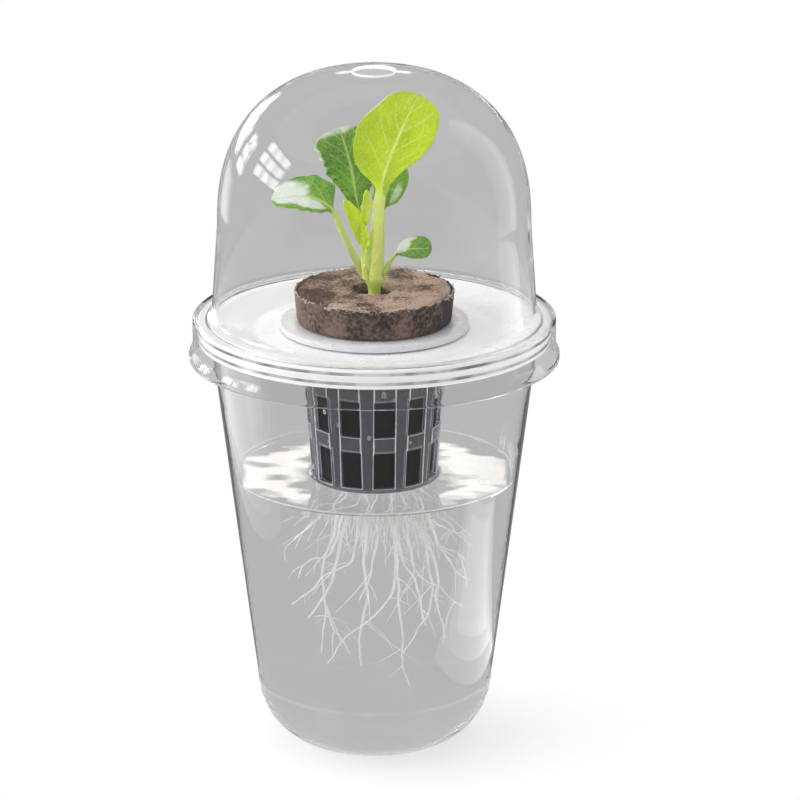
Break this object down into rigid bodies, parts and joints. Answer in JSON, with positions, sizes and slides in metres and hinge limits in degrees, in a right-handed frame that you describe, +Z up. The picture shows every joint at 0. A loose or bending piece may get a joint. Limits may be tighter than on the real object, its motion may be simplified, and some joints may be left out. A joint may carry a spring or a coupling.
{
  "type": "nursery planter pot",
  "caption": "Seedling pot that grows over water: clear round-heeled cup, white planting tray, hanging net pot with wrapped plug and seedling, and clear vented dome.",
  "frame": {"origin": "centre of the cup's foot, on the surface that it stands on", "axes": "+Z up along the cup's axis, -Y towards the viewer of the picture, +X to the viewer's right"},
  "size_m": [0.1022, 0.1022, 0.1922],
  "materials": {
    "clear_plastic": "clear, glossy, faintly grey",
    "water": "clear liquid",
    "white_plastic": "smooth white",
    "smoky_plastic": "see-through, smoky, glossy",
    "net_fabric": "thin non-woven net, frayed at the hem",
    "peat": "coarse fibrous peat",
    "root": "pale, moist",
    "stem": "satin",
    "bright_leaf": "satin, veined",
    "dark_leaf": "satin, veined"
  },
  "bodies": {
    "cup": {"reservoir_cup": "clear_plastic", "nutrient_water": "water"},
    "tray": {"planting_tray": "white_plastic"},
    "basket": {"net_pot": "smoky_plastic", "plug_sleeve": "net_fabric", "growing_plug": "peat", "root_cluster": "root", "seedling_stem": "stem", "leaf_large": "bright_leaf", "leaf_rear": "dark_leaf", "leaf_left": "dark_leaf", "leaf_hidden": "dark_leaf", "leaf_young": "bright_leaf", "seed_leaf": "dark_leaf"},
    "dome": {"dome_cover": "clear_plastic"}
  },
  "joints": [
    {"name": "tray_lift", "type": "slide", "parent": "cup", "child": "tray", "axis": [0, 0, 1], "range_m": [0, 0.115], "deforming": ["nutrient_water"]},
    {"name": "basket_lift", "type": "slide", "parent": "tray", "child": "basket", "axis": [0, 0, 1], "range_m": [0, 0.115]},
    {"name": "dome_lift", "type": "slide", "parent": "basket", "child": "dome", "axis": [0, 0, 1], "range_m": [0, 0.085]}
  ]
}
